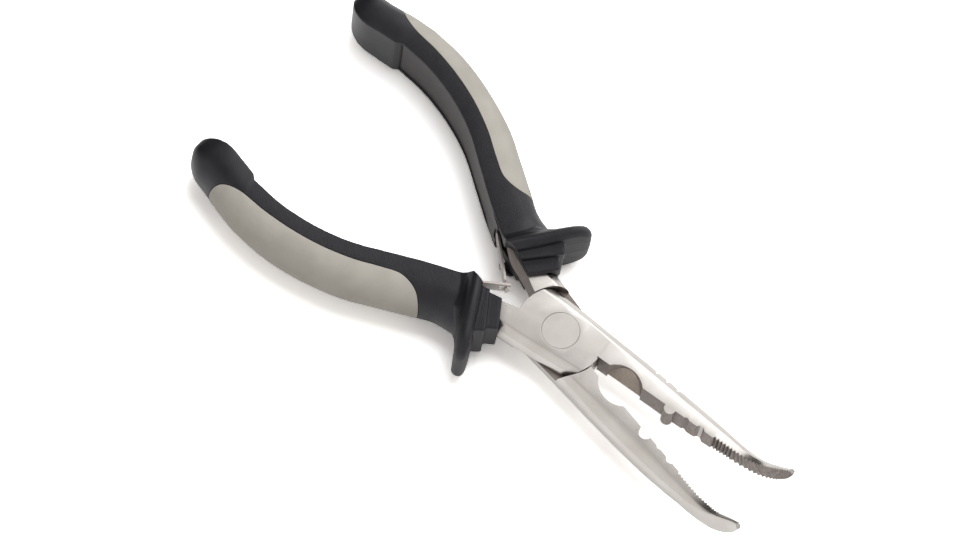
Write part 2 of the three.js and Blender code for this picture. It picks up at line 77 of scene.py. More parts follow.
MM = 0.001
rivet_low, rivet_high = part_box("pivot_rivet")
MID_Z = (rivet_low.z + rivet_high.z) / 2 / MM
HALF_T = (rivet_high.z - rivet_low.z) / 2 / MM
REST_OPEN_DEG = 15.2
HALF_OPEN = math.radians(REST_OPEN_DEG / 2)

# heights and a distance that reach past the forging, past the grip and past the head
OVER = HALF_T + 2
TALL = 14
FAR = 20
# an overlap that leaves no thin skin between two cuts
HAIR = 0.05

# ---------------------------------------------------------------- the forgings' dimensions

HEAD_R = 11.3
# the strip beside the head on the jaw's side: its two ends, and how far it reaches past the bite's line
STRIP_FROM_X = -12
STRIP_TO_X = 11.0
STRIP_PAST_BITE = 0.5
# the middle of the head, which joins the two strips
BRIDGE_X = (-12, 9)
BRIDGE_Y = (-3, 2)
HEAD_FACETS = 192
FACE_FACETS = 160
SHOULDER_GAP = 0.25
LAP_GAP = 0.2
RIVET_R = 2.6
RIVET_FACE_R = 4.65
RIVET_FACE_T = 1.2
RIVET_GAP = 0.04
RIVET_EDGE = 0.05
BITE_GAP = 0.05
# the nose: where it starts to bend upwards, the radius of its top edge and the whole bend
BEND_X = 50.5
BEND_R = 12.5
BEND_DEG = 52
# the jaw itself starts inside the head; clear of it, its sections lie this far apart up to the teeth
JAW_FROM_X = 9.0
JAW_CLEAR_X = 11.6
JAW_STEP = 1.1
# distance along the jaw's top edge, width
JAW_WIDTH = [
    (-12, 9.2),
    (-4, 8.8),
    (4, 8.25),
    (11, 7.75),
    (21, 7.15),
    (30, 6.4),
    (38, 5.6),
    (46, 4.6),
    (50.5, 3.9),
    (56, 3.0),
    (61.8, 2.3),
    (66, 1.85),
    (70, 1.45),
]
# distance along the jaw, thickness
JAW_THICK = [
    (-12, 8),
    (30, 8),
    (38, 7.7),
    (46, 6.9),
    (50.5, 6.2),
    (56, 5.7),
    (61.8, 4.4),
    (66, 3.4),
    (70, 1.5),
]
# distance along the jaw, where its flat top gives way to the rounded outer side
JAW_CREASE = [
    (-12, 5.9),
    (4, 5.7),
    (12, 5.0),
    (20, 3.8),
    (30, 2.45),
    (38, 2.1),
    (46, 1.9),
    (50.5, 1.8),
    (56, 1.5),
    (61.8, 1.15),
    (66, 0.85),
    (70, 0.6),
]
CREASE_DEG = 20
UNDER_BEVEL = 1.2
UNDER_DROP = 1.8
# the strips beside the head overlap its circle by this angle and distance
STRIP_OVERLAP = 0.06
STRIP_OVERLAP_Y = 0.65
TEETH_FROM = 45.0
TOOTH_PITCH = 0.95
TOOTH_DEPTH = 0.55
KNURL_FROM = 57.0
KNURL_PITCH = 0.9 * TOOTH_PITCH
KNURL_SHARE = 0.8
# the round relief beside the joint, and its floor's height at the bite and at the far wall
CUTTER_X = 19.45
CUTTER_R = 6.3
CUTTER_DEPTH = 2.3
FLOOR_LOW = -2.1
FLOOR_HIGH = 3.2
BLADE_RELIEF = 1.2
# the round nub between the jaws
NUB_X = 32.5
NUB_R = 1.5
NUB_GAP = 0.3
NUB_FACETS = 64
# place along the jaw, radius and depth of each wire hollow
CRIMPS = [(37.3, 0.75, 0.4), (41.4, 1.2, 0.7)]
CRIMP_FACETS = 48
BACK_NOTCHES = (24.4, 27.7, 31.1)
NOTCH_W = 0.85
NOTCH_DEPTH = 1.2
# inner edge x, y, outer edge x, y, half thickness
TANG = [
    (12, -0.3, 12, -7.6, 4.0),
    (4, -0.5, 4, -8.2, 4.0),
    (-4, -0.8, -4, -8.8, 4.0),
    (-11.3, -1.3, -10.4, -9.1, 4.0),
    (-15.5, -2.4, -14.8, -9.2, 4.0),
    (-19.0, -3.05, -18.2, -9.4, 4.0),
    (-22.8, -3.75, -21.5, -9.6, 4.0),
    (-26, -5.1, -25.5, -10.2, 3.7),
    (-34.5, -10.1, -35.6, -13.2, 2.8),
    (-46, -12.9, -47.2, -15.9, 2.8),
    (-60, -17.3, -60.6, -20.3, 2.8),
    (-78, -17.6, -78, -20.6, 2.6),
]
TANG_ROUND = 2.8
TANG_END_ROUND = 0.5
TANG_END_HALF_T = 2.8
TANG_GAP = 0.15

# ---------------------------------------------------------------- the grips' dimensions

BUTT = [
    (-98.5, -15.2, -98.4, -17.1, 4.6),
    (-97.7, -13.3, -97.5, -18.8, 6.2),
    (-95.3, -11.7, -94.9, -20.8, 7.4),
    (-91.5, -11.3, -91.4, -21.9, 8.2),
    (-86.5, -12.7, -85.5, -24.0, 8.8),
    (-82.2, -14.0, -80.2, -25.5, 9.0),
]
HANDLE = [
    (-81.0, -15.2, -79.0, -25.7, 9.0),
    (-72, -16.3, -71, -26.6, 9.2),
    (-62, -15.8, -64, -26.5, 9.2),
    (-53, -13.8, -56.5, -25.6, 8.9),
    (-44, -10.1, -48.5, -23.9, 8.4),
    (-36, -6.7, -40.2, -20.7, 8.0),
    (-29.5, -4.3, -33, -17.8, 7.7),
    (-26, -3.0, -27, -15.4, 7.5),
    (-23.2, -2.2, -20.5, -14.9, 7.4),
]
# the D section: where its widest place lies, its fall towards the inner face, its roundness
CROWN = 0.42
CROWN_FALL = 0.07
D_POWER = 2.3
GUARD_DEG = -64.9
GUARD_OFFSET = -22.3
GUARD_FROM = -8.4
GUARD_TIP = 13.4
GUARD_HALF_W = 2.3
GUARD_HALF_H = 10.5
GUARD_ROUND = 6.0
GUARD_SLIM = 0.22
GUARD_FLANK = 3.4
# over the crest from front to back: across in half widths, share of the flank, drop below the crest
GUARD_CREST = [
    (0.72, 0, 1.5),
    (0.42, 0, 0.4),
    (0, 0, 0),
    (-0.42, 0, 0.35),
    (-0.75, 0, 1.2),
    (-0.9, 0.12, 2.3),
    (-0.94, 0.4, 3.1),
    (-1, 1, 3.8),
]
# over this length of the guard its flank thins out, and the flank's foot sinks into the handle
FLANK_FROM = 0.5
FOOT_FROM = -1
FLANK_LENGTH = 6
FOOT_SINK = 6
FOOT_LEAST_H = 0.5
# front edge's offset at its inner and outer end, reach of its outer end in front and behind, half height
BANDS = [(-18.7, -17.75, 5.3, 6.1, 7.6), (-15.45, -14.75, 3.5, 4.3, 5.7)]
BAND_FROM = -9
BAND_ROUND = 0.5
BAND_CORNER = 0.1
# the bands' inner ends are flush with the tang up to the first height, and reach further in above the lip
FLUSH_HALF_H = 8.6
LIP_Z = 5.2
CORE_FRONT_X = -29.2
CORE_DEPTH = 6.0
CORE_TAPER = 0.2
CORE_LIP = 1.7
# how deep the core's wall lies behind the lips, and at the spring's mouth, where it swells
CORE_RECESS = 0.35
MOUTH_RECESS = -0.25
MOUTH_FROM_X = -37
MOUTH_LENGTH = 6
CORE_ROOM = -2
INLAY_T = 1.4
GROOVE = 0.16
INLAY_EDGE = [
    (-90.3, -26.5),
    (-89.5, -23.6),
    (-87.2, -21.0),
    (-82.5, -19.9),
    (-74, -20.5),
    (-66, -20.4),
    (-58, -19.4),
    (-50, -17.3),
    (-43.5, -14.7),
    (-38.5, -13.1),
    (-34, -13.9),
    (-31.2, -15.8),
    (-28.8, -18.6),
]
OPENING_FROM_X = -30.5
OPENING_IN = 5
OPENING_OUT = 1.5
PIN_AT = (-34.03, -8.37)
LEAF_DEG = 30.66
LEAF_HALF_H = 2.1
LEAF_ROOM = 0.3
# the leaf's pocket in the leaf's own axes: along it, and across it
POCKET_ALONG = (-1.5, 12)
POCKET_ACROSS = (-1.7, 1.6)
# size of the grain in which the sleeve's solids are melted together
VOXEL = 0.24
MELT_ROUNDS = 4
# pitch of the grooves along the tang's ground side
GROOVE_PITCH = 1.35
# faces that meet at less than these angles are shaded as one, on creased and on rounded pieces
CREASED_DEG = 32
ROUND_DEG = 50

# ---------------------------------------------------------------- curves


def read_table(table, x):
    """A smooth value from (position, value) rows, without overshoot between them."""
    xs = np.array([r[0] for r in table], float)
    ys = np.array([r[1] for r in table], float)
    x = min(max(x, xs[0]), xs[-1])
    i = int(min(max(np.searchsorted(xs, x) - 1, 0), len(xs) - 2))
    slopes = np.diff(ys) / np.diff(xs)

    def tangent(k):
        """The slope at row k: the harmonic mean of its neighbours' slopes, or none at a peak."""
        if k == 0:
            return slopes[0]
        if k == len(xs) - 1:
            return slopes[-1]
        a = slopes[k - 1]
        b = slopes[k]
        return 0.0 if a * b <= 0 else 2 * a * b / (a + b)

    h = xs[i + 1] - xs[i]
    t = (x - xs[i]) / h
    from_here = 2 * t**3 - 3 * t**2 + 1
    leave = t**3 - 2 * t**2 + t
    from_next = -2 * t**3 + 3 * t**2
    arrive = t**3 - t**2
    value = from_here * ys[i] + leave * h * tangent(i)
    return value + from_next * ys[i + 1] + arrive * h * tangent(i + 1)


def spline(points, count):
    """Points on a centripetal Catmull-Rom curve through the given ones."""
    p = np.array(points, float)
    p = np.vstack([2 * p[0] - p[1], p, 2 * p[-1] - p[-2]])
    out = []
    segments = len(points) - 1
    for k in range(count + 1):
        at = min(k / count * segments, segments - 1e-9)
        i = int(at)
        w = at - i
        p0, p1, p2, p3 = p[i : i + 4]
        pairs = ((p0, p1), (p1, p2), (p2, p3))
        d0, d1, d2 = (max(np.linalg.norm(b - a) ** 0.5, 1e-4) for a, b in pairs)
        t1 = ((p1 - p0) / d0 - (p2 - p0) / (d0 + d1) + (p2 - p1) / d1) * d1
        t2 = ((p2 - p1) / d1 - (p3 - p1) / (d1 + d2) + (p3 - p2) / d2) * d1
        a = 2 * p1 - 2 * p2 + t1 + t2
        b = -3 * p1 + 3 * p2 - 2 * t1 - t2
        out.append(a * w**3 + b * w**2 + t1 * w + p1)
    return out


def stations(rows, count):
    """Smooth rows of (inner point, outer point, half thickness)."""
    inner = spline([(r[0], r[1], r[4]) for r in rows], count)
    outer = spline([(r[2], r[3], r[4]) for r in rows], count)
    return [(i[:2], o[:2], i[2]) for i, o in zip(inner, outer)]


def rounded(corners, steps=4):
    """A closed outline from (a, b, radius) corners, each rounded off by that radius."""
    out = []
    n = len(corners)
    for i in range(n):
        before, here, after = (np.array(corners[(i + k) % n][:2], float) for k in (-1, 0, 1))
        to_before = (before - here) / np.linalg.norm(before - here)
        to_after = (after - here) / np.linalg.norm(after - here)
        half = math.acos(max(-1, min(1, float(to_before @ to_after)))) / 2
        setback = corners[i][2] / max(math.tan(half), 1e-3)
        start = here + to_before * setback
        end = here + to_after * setback
        for k in range(steps + 1):
            t = k / steps
            out.append(tuple((1 - t) ** 2 * start + 2 * t * (1 - t) * here + t**2 * end))
    return out


# ---------------------------------------------------------------- meshes


def loft(loops, name="loft"):
    """A closed skin over loops with equal numbers of points."""
    size = len(loops[0])
    verts = [tuple(v) for loop in loops for v in loop]
    faces = []
    for i in range(len(loops) - 1):
        for j in range(size):
            a = i * size + j
            b = i * size + (j + 1) % size
            faces.append((a, b, b + size, a + size))
    faces.append(tuple(reversed(range(size))))
    faces.append(tuple(range((len(loops) - 1) * size, len(loops) * size)))
    return solid(verts, faces, name)


def solid(verts, faces, name):
    """An object with these vertices and faces, its double points merged and its faces turned outwards."""
    mesh = bpy.data.meshes.new(name)
    mesh.from_pydata(verts, [], faces)
    bm = bmesh.new()
    bm.from_mesh(mesh)
    bmesh.ops.remove_doubles(bm, verts=bm.verts, dist=1e-5)
    bmesh.ops.recalc_face_normals(bm, faces=bm.faces)
    bm.to_mesh(mesh)
    bm.free()
    made = bpy.data.objects.new(name, mesh)
    bpy.context.scene.collection.objects.link(made)
    return made


def plate(outline, z0, z1, name="plate"):
    """A flat outline pushed from z0 to z1."""
    return loft([[(x, y, z) for x, y in outline] for z in (z0, z1)], name)


def circle(x, y, r, count=96):
    """Points round a circle."""
    turns = [2 * math.pi * k / count for k in range(count)]
    return [(x + r * math.cos(a), y + r * math.sin(a)) for a in turns]


def bar(x, y, r, z0, z1, count=96):
    """An upright round bar."""
    return plate(circle(x, y, r, count), z0, z1, "bar")


def box(lx, ly, lz):
    """A box from its limits along each axis."""
    return plate([(lx[0], ly[0]), (lx[1], ly[0]), (lx[1], ly[1]), (lx[0], ly[1])], lz[0], lz[1], "box")


def apply_modifiers(obj):
    """Turns an object's modifiers into its mesh."""
    graph = bpy.context.evaluated_depsgraph_get()
    made = bpy.data.meshes.new_from_object(obj.evaluated_get(graph))
    old = obj.data
    obj.modifiers.clear()
    made.materials.clear()
    obj.data = made
    bpy.data.meshes.remove(old)
    return obj


def combine(obj, other, operation):
    """Joins, cuts or intersects obj with other, which is used up."""
    mod = obj.modifiers.new("combine", "BOOLEAN")
    mod.operation = operation
    mod.solver = "MANIFOLD"
    mod.object = other
    apply_modifiers(obj)
    bpy.data.objects.remove(other)
    return obj


def add(obj, other):
    """Joins other to obj."""
    return combine(obj, other, "UNION")


def cut(obj, other):
    """Takes other away from obj."""
    return combine(obj, other, "DIFFERENCE")


def common(obj, other):
    """Keeps what obj shares with other."""
    return combine(obj, other, "INTERSECT")


def place(obj, side):
    """Moves a half's piece from its closed pose to the row frame. side is 1, or -1 for the mirrored half."""
    mesh = obj.data
    co = np.empty(len(mesh.vertices) * 3)
    mesh.vertices.foreach_get("co", co)
    co = co.reshape(-1, 3)
    own = mesh.attributes.new("own_mm", "FLOAT_VECTOR", "POINT")
    own.data.foreach_set("vector", co.astype(np.float32).ravel())
    c = math.cos(HALF_OPEN)
    s = math.sin(HALF_OPEN)
    x = co[:, 0] * c - co[:, 1] * s
    y = co[:, 0] * s + co[:, 1] * c
    out = np.stack([x, y * side, co[:, 2] + MID_Z], 1) * MM
    mesh.vertices.foreach_set("co", out.astype(np.float32).ravel())
    if side < 0:
        mesh.flip_normals()
    mesh.update()
    return obj


def finish_piece(obj, name, side, body, node, materials, smooth_deg=CREASED_DEG, weighted=True):
    """Names a piece, places it, gives it its body and its materials, and hides the CAD node it stands for.
    """
    place(obj, side)
    obj.name = name
    obj.data.name = name
    for m in materials:
        obj.data.materials.append(m)
    obj.data.shade_smooth()
    obj.data.set_sharp_from_angle(angle=math.radians(smooth_deg))
    if weighted:
        mod = obj.modifiers.new("weighted_normal", "WEIGHTED_NORMAL")
        mod.keep_sharp = True
    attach(obj, body)
    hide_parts(node)
    return obj


def duplicate(obj):
    """A second object with its own copy of the mesh."""
    made = obj.copy()
    made.data = obj.data.copy()
    bpy.context.scene.collection.objects.link(made)
    return made


# ---------------------------------------------------------------- forgings


def jaw_frame(s):
    """A point on the jaw's top edge, and the upward direction there."""
    arc = min(max(s - BEND_X, 0), BEND_R * math.radians(BEND_DEG))
    angle = arc / BEND_R
    straight = s - arc - min(s, BEND_X)
    x = min(s, BEND_X) + BEND_R * math.sin(angle) + straight * math.cos(angle)
    z = HALF_T + BEND_R * (1 - math.cos(angle)) + straight * math.sin(angle)
    return x, z, -math.sin(angle), math.cos(angle)


def top_round(crease, width, thickness, steps=12):
    """The round from the side's half height up to the edge of the flat top: (across, down)."""
    start = math.radians(CREASE_DEG)
    across = (width - crease) / (1 - math.sin(start))
    down = thickness * 0.5 / math.cos(start)
    points = []
    for k in range(steps + 1):
        a = math.pi / 2 + (start - math.pi / 2) * k / steps
        outward = across * (math.sin(a) - math.sin(start))
        points.append((crease + outward, -down * (math.cos(start) - math.cos(a))))
    return points


def outer_side(crease, width, thickness, steps=12):
    """The outer side of a forged section, from its underside up to the flat top: (across, down)."""
    bevel = min(UNDER_BEVEL, width * 0.3)
    points = []
    for k in range(4):
        a = k / 3 * math.pi / 2
        lift = UNDER_DROP * thickness / (2 * HALF_T) * (1 - math.cos(a))
        points.append((width - bevel * (1 - math.sin(a)), lift - thickness))
    return points + top_round(crease, width, thickness, steps)


def tooth(v, pitch):
    """0 at a tooth's crest and 1 in the valley."""
    return 1 - abs(2 * ((v / pitch) % 1) - 1)


def jaw_loop(s, bite):
    """One section of the jaw. The bite face has a row of points that the teeth are cut into."""
    w = read_table(JAW_WIDTH, s)
    t = read_table(JAW_THICK, s)
    x, z, up_x, up_z = jaw_frame(s)
    section = [(bite, -t)] + outer_side(read_table(JAW_CREASE, s), w, t) + [(bite, 0)]
    rows = 13
    for k in range(1, rows):
        down = -t * k / rows
        depth = 0.0
        if s > TEETH_FROM:
            depth = tooth(s - TEETH_FROM, TOOTH_PITCH)
            if s > KNURL_FROM:
                depth = max(depth, tooth(down, KNURL_PITCH) * KNURL_SHARE)
        section.append((bite + depth * TOOTH_DEPTH, down))
    if s > TEETH_FROM:
        depth = tooth(s - TEETH_FROM, TOOTH_PITCH) * TOOTH_DEPTH
        section = [(max(y, bite + depth), down) for y, down in section]
    return [(x + up_x * h, y, z + up_z * h) for y, h in section]


def jaw():
    """The strip beside the head on the jaw's side, and the jaw itself with its bite."""
    tip = JAW_WIDTH[-1][0]
    plain = list(np.arange(JAW_CLEAR_X, TEETH_FROM, JAW_STEP))
    toothed = list(np.arange(TEETH_FROM, tip + 1e-6, TOOTH_PITCH / 4))
    beside = list(range(STRIP_FROM_X, math.floor(STRIP_TO_X), 4)) + [STRIP_TO_X]
    strip = [jaw_loop(s, -STRIP_PAST_BITE) for s in beside]
    fore = [jaw_loop(s, BITE_GAP) for s in [JAW_FROM_X] + plain + toothed]
    return loft(strip, "head_side"), loft(fore, "jaw")


def strip_corner(sign):
    """What lies outside the head's circle, at the end of the jaw's strip (sign -1) or of the tang's (1)."""
    turns = np.linspace(-STRIP_OVERLAP, math.pi / 2, 60)
    arc = [(sign * HEAD_R * math.cos(a), -sign * HEAD_R * math.sin(a)) for a in turns]
    far = FAR * sign
    return plate(arc + [(0, -far), (far, -far), (far, STRIP_OVERLAP_Y * sign)], -OVER, OVER)


def tang_loop(p, q, h, grow=0.0):
    """A section of the tang, flat on its inner side and rounded on its outer side."""
    way = (q - p) / np.linalg.norm(q - p)
    a = p - way * grow
    b = q + way * grow
    t = h + grow
    width = np.linalg.norm(b - a)
    thin = (h - TANG_END_HALF_T) / (HALF_T - TANG_END_HALF_T)
    side = TANG_END_ROUND + (TANG_ROUND - TANG_END_ROUND) * thin
    upper = top_round(width - side, width, 2 * t)
    lower = [(u, -2 * t - down) for u, down in reversed(upper[1:])]
    section = [(0, -2 * t)] + lower + upper + [(0, 0)]
    return [(a[0] + way[0] * u, a[1] + way[1] * u, t + down) for u, down in section]


def tang():
    """The bar that runs from the head into the grip."""
    return loft([tang_loop(*row) for row in stations(TANG, 70)], "tang")


def tang_room():
    """The tang with a gap all round it."""
    return loft([tang_loop(*row, grow=TANG_GAP) for row in stations(TANG, 40)], "tang_room")


def solid_forging():
    """Head, jaw and tang in one piece, before anything is cut from it."""
    head_side, fore = jaw()
    cut(head_side, strip_corner(-1))
    tail = tang()
    cut(tail, strip_corner(1))
    head = bar(0, 0, HEAD_R, -HALF_T, HALF_T, HEAD_FACETS)
    bridge = common(head, box(BRIDGE_X, BRIDGE_Y, (-OVER, OVER)))
    return add(add(add(head_side, fore), tail), bridge)


def cut_joint(body, lap):
    """Takes away the other half's share of the lap joint, and the rivet's hole and its face's seat."""
    limits = (-OVER, LAP_GAP / 2) if lap > 0 else (-LAP_GAP / 2, OVER)
    cut(body, bar(0, 0, HEAD_R + SHOULDER_GAP, *limits, HEAD_FACETS))
    cut(body, bar(0, 0, RIVET_R + RIVET_GAP, -OVER, OVER))
    seat = HALF_T - RIVET_FACE_T - RIVET_GAP
    limits = (seat, OVER) if lap > 0 else (-OVER, -seat)
    cut(body, bar(0, 0, RIVET_FACE_R + RIVET_GAP, *limits, FACE_FACETS))


def forging(lap):
    """lap is 1 for the half whose joint lies on top, and -1 for the one underneath."""
    body = solid_forging()
    cut_joint(body, lap)
    relief = bar(CUTTER_X, CUTTER_DEPTH - CUTTER_R, CUTTER_R, -OVER, OVER, FACE_FACETS)
    cut(body, common(relief, above_floor()) if lap > 0 else relief)
    if lap > 0:
        cut(body, blade_bevel())
        add(body, bar(NUB_X, -0.1, NUB_R, 0.1 - HALF_T, HALF_T, NUB_FACETS))
        for x in BACK_NOTCHES:
            width = read_table(JAW_WIDTH, x)
            along = (x - NOTCH_W / 2, x + NOTCH_W / 2)
            cut(body, box(along, (width - NOTCH_DEPTH, width + 2), (-OVER, OVER)))
    else:
        cut(body, bar(NUB_X, 0, NUB_R + NUB_GAP, -OVER, OVER, NUB_FACETS))
    for x, r, depth in CRIMPS:
        cut(body, bar(x, depth - r, r, -OVER, OVER, CRIMP_FACETS))
    return body


def across_bite(section, reach):
    """A (y, z) section pushed along the jaw, over this reach to both sides of the relief's middle."""
    return loft([[(x, y, z) for y, z in section] for x in (CUTTER_X - reach, CUTTER_X + reach)])


def above_floor():
    """The room above the relief's floor, which climbs steeply from the cutting edge."""
    climb = (FLOOR_HIGH - FLOOR_LOW) / CUTTER_DEPTH
    top = CUTTER_DEPTH + HAIR
    high = FLOOR_LOW + climb * top
    clear = 9
    section = [(-1, FLOOR_LOW - climb), (top, high), (clear, high), (clear, clear), (-1, clear)]
    return across_bite(section, clear)


def blade_bevel():
    """The slope under the relief's cutting edge."""
    chord = math.sqrt(CUTTER_R**2 - (CUTTER_R - CUTTER_DEPTH) ** 2)
    edge_z = FLOOR_LOW - HAIR
    under_z = -HALF_T - 0.5
    section = [(-1, edge_z), (BITE_GAP, edge_z), (BLADE_RELIEF, under_z), (-1, under_z)]
    return across_bite(section, chord)


def paint_forging(obj):
    """Gives the ground inner faces slot 1 and the relief's floor slot 2. The joint's shoulder and lap faces
    get slot 1 too, where its darker tone is partly painted shade. Works in the half's own axes.
    """
    near = 0.1
    for p in obj.data.polygons:
        x, y, z = p.center
        n = p.normal
        from_axis = math.hypot(x, y)
        upright = abs(n.z) < 0.5
        in_relief = abs(x - CUTTER_X) < CUTTER_R and -near < y < CUTTER_DEPTH + near
        inner_jaw = x > 10.5 and y < TOOTH_DEPTH + BITE_GAP + 0.02 and n.y < -0.3
        inner_tang = x < -9 and n.y > 0.6 and upright
        # the joint's shoulder and lap faces take the darker ground finish: partly their own ground face,
        # partly painted shade from the joint
        painted_shade_shoulder = abs(from_axis - HEAD_R - SHOULDER_GAP) < near and upright
        painted_shade_lap = from_axis < HEAD_R + 0.2 and abs(z) < 0.3 and abs(n.z) > 0.9
        if in_relief and n.z > 0.3 and -3 < z < 3.5:
            p.material_index = 2
        elif (in_relief and upright) or inner_jaw or inner_tang or painted_shade_shoulder or painted_shade_lap:
            p.material_index = 1


def pivot_rivet():
    """Two flush faces on a shank, with a fine chamfer round each face."""
    upper = [
        (0, HALF_T),
        (RIVET_FACE_R - RIVET_EDGE, HALF_T),
        (RIVET_FACE_R, HALF_T - RIVET_EDGE),
        (RIVET_FACE_R, HALF_T - RIVET_FACE_T),
        (RIVET_R, HALF_T - RIVET_FACE_T),
    ]
    profile = upper + [(r, -z) for r, z in reversed(upper)]
    count = 128
    verts = []
    faces = []
    rings = []
    for r, z in profile:
        if r == 0:
            rings.append([len(verts)] * count)
            verts.append((0, 0, z))
        else:
            rings.append(list(range(len(verts), len(verts) + count)))
            verts += [(x, y, z) for x, y in circle(0, 0, r, count)]
    for a, b in zip(rings, rings[1:]):
        for k in range(count):
            quad = [a[k], b[k], b[(k + 1) % count], a[(k + 1) % count]]
            face = list(dict.fromkeys(quad))
            if len(face) > 2:
                faces.append(face)
    return solid(verts, faces, "pivot_rivet")


# ---------------------------------------------------------------- grips


def d_half(u):
    """Half height of the D section at a share u of the way from the inner face to the outer side."""
    if u < CROWN:
        return 1 - CROWN_FALL * ((CROWN - u) / CROWN) ** 2
    out = (u - CROWN) / (1 - CROWN)
    return math.sqrt(max(0.0, 1 - out**D_POWER))


def d_loop(p, q, h, inset):
    """A D section from its flat inner face at p to its rounded outer side at q."""
    way = (q - p) / np.linalg.norm(q - p)
    a = p + way * inset
    b = q - way * inset
    near = list(np.linspace(0, CROWN, 9))[:-1]
    far = [CROWN + (1 - CROWN) * math.sin(k / 18 * math.pi / 2) for k in range(19)]
    top = [(*(a + (b - a) * u), d_half(u) * (h - inset)) for u in near + far]
    return top + [(x, y, -z) for x, y, z in reversed(top[:-1])]


def handle(inset=0.0):
    """The grip's bulb and handle, made thinner by inset all round."""
    rows = stations(BUTT, 34) + stations(HANDLE, 110)
    return loft([d_loop(p, q, h, inset) for p, q, h in rows], "handle")


ALONG = np.array([math.cos(math.radians(GUARD_DEG)), math.sin(math.radians(GUARD_DEG))])
ACROSS = np.array([-ALONG[1], ALONG[0]])


def guard_point(u, n, z):
    """u runs along the guard, away from the other half, and n across it, towards the jaws."""
    at = ALONG * u + ACROSS * n
    return at[0], at[1], z


def fall(radius, left):
    """How far a rounded end has shrunk, from 1 to 0, with this much left to its tip."""
    return math.sqrt(max(0.0, 1 - (1 - min(left / radius, 1)) ** 2))


def guard_loop(u, left):
    """A section of the finger guard: a rounded crest, a drafted front and a flank that meets the handle."""
    slim = 1 - GUARD_SLIM * min(max(u / GUARD_TIP, 0), 1)
    w = max(0.15, GUARD_HALF_W * slim * fall(GUARD_HALF_W * slim, left))
    h = GUARD_HALF_H - GUARD_ROUND * (1 - fall(GUARD_ROUND, left))
    spread = GUARD_FLANK * (1 - min(max((u - FLANK_FROM) / FLANK_LENGTH, 0), 1)) ** 1.5
    share = min(1.0, h / GUARD_HALF_H)
    half = [(w, 0), (w * 0.9, h * 0.5)]
    half += [(w * across - spread * flank, h - drop * share) for across, flank, drop in GUARD_CREST]
    foot, foot_h = half[-1]
    sink = FOOT_SINK * min(max((u - FOOT_FROM) / FLANK_LENGTH, 0), 1)
    half[-1] = (foot, max(FOOT_LEAST_H, foot_h - sink))
    loop = half + [(v, -z) for v, z in reversed(half[1:])]
    return [guard_point(u, GUARD_OFFSET + v, z) for v, z in loop]


def guard():
    """The finger guard, with its sections packed closely where it rounds off at its tip."""
    lefts = [GUARD_TIP - GUARD_FROM - k * 0.8 for k in range(20)]
    lefts = [left for left in lefts if left > GUARD_ROUND]
    lefts += [GUARD_ROUND * (1 - math.sin(k / 20 * math.pi / 2)) for k in range(21)]
    return loft([guard_loop(GUARD_TIP - left, left) for left in lefts], "guard")


def band(front_in, front_out, reach_front, reach_back, half_h):
    """A step in front of the guard, square at its outer end. Its inner end is trimmed later."""
    front_start = front_in - 0.3 * (front_out - front_in)
    corners = [
        (BAND_FROM, GUARD_OFFSET, BAND_CORNER),
        (BAND_FROM, front_start, BAND_CORNER),
        (reach_front, front_out, BAND_ROUND),
        (reach_back, GUARD_OFFSET, BAND_CORNER),
    ]
    outline = rounded(corners, 4)
    return loft([[guard_point(u, n, z) for u, n in outline] for z in (-half_h, half_h)], "band")


def join_meshes(objs):
    """One object from several, without melting them together."""
    bm = bmesh.new()
    for o in objs:
        bm.from_mesh(o.data)
    mesh = bpy.data.meshes.new("joined")
    bm.to_mesh(mesh)
    bm.free()
    for o in objs:
        bpy.data.objects.remove(o)
    made = bpy.data.objects.new("joined", mesh)
    bpy.context.scene.collection.objects.link(made)
    return made


def soften(obj, voxel, smoothing):
    """Melts overlapping solids into one, with small fillets where they meet."""
    mod = obj.modifiers.new("melt", "REMESH")
    mod.mode = "VOXEL"
    mod.voxel_size = voxel
    apply_modifiers(obj)
    mod = obj.modifiers.new("smooth", "SMOOTH")
    mod.factor = 0.5
    mod.iterations = smoothing
    return apply_modifiers(obj)


def grip_body():
    """Bulb, handle, guard and bands as one moulding, still solid."""
    parts = [handle(), guard()] + [band(*row) for row in BANDS]
    return soften(join_meshes(parts), VOXEL, MELT_ROUNDS)


def tang_side():
    """The room beyond the tang's inner edge: below the lip, above it, and round the guard's crest."""
    flush = [(-21.9, -3.58), (-19.0, -3.05), (-15.5, -2.4), (-10, -1.3), (-10, 6)]
    below = plate([(-29.4, 6), (-29.4, -3.9), (-29.0, -4.6), (-26.4, -4.45)] + flush, -FLUSH_HALF_H, LIP_Z)
    above = plate([(-24.6, 6), (-24.6, -2.4), (-23.8, -3.25)] + flush, LIP_Z - 0.1, FLUSH_HALF_H)
    crest = [(-26.6, 6), (-26.6, -1.5), (-24.1, -2.6), (-21.1, -3.15), (-10, -1.3), (-10, 6)]
    return add(add(below, above), plate(crest, -TALL, TALL))


def inlay_prism(grow):
    """Everything on the outer side of the inlay's edge, grown by a margin."""
    points = spline(INLAY_EDGE, 90)
    edge = []
    for i, p in enumerate(points):
        way = points[min(i + 1, len(points) - 1)] - points[max(i - 1, 0)]
        way = way / np.linalg.norm(way)
        edge.append((p[0] - way[1] * grow, p[1] + way[0] * grow))
    outside_y = -40
    return plate(edge + [(-26, outside_y), (-92, outside_y)], -TALL, TALL)


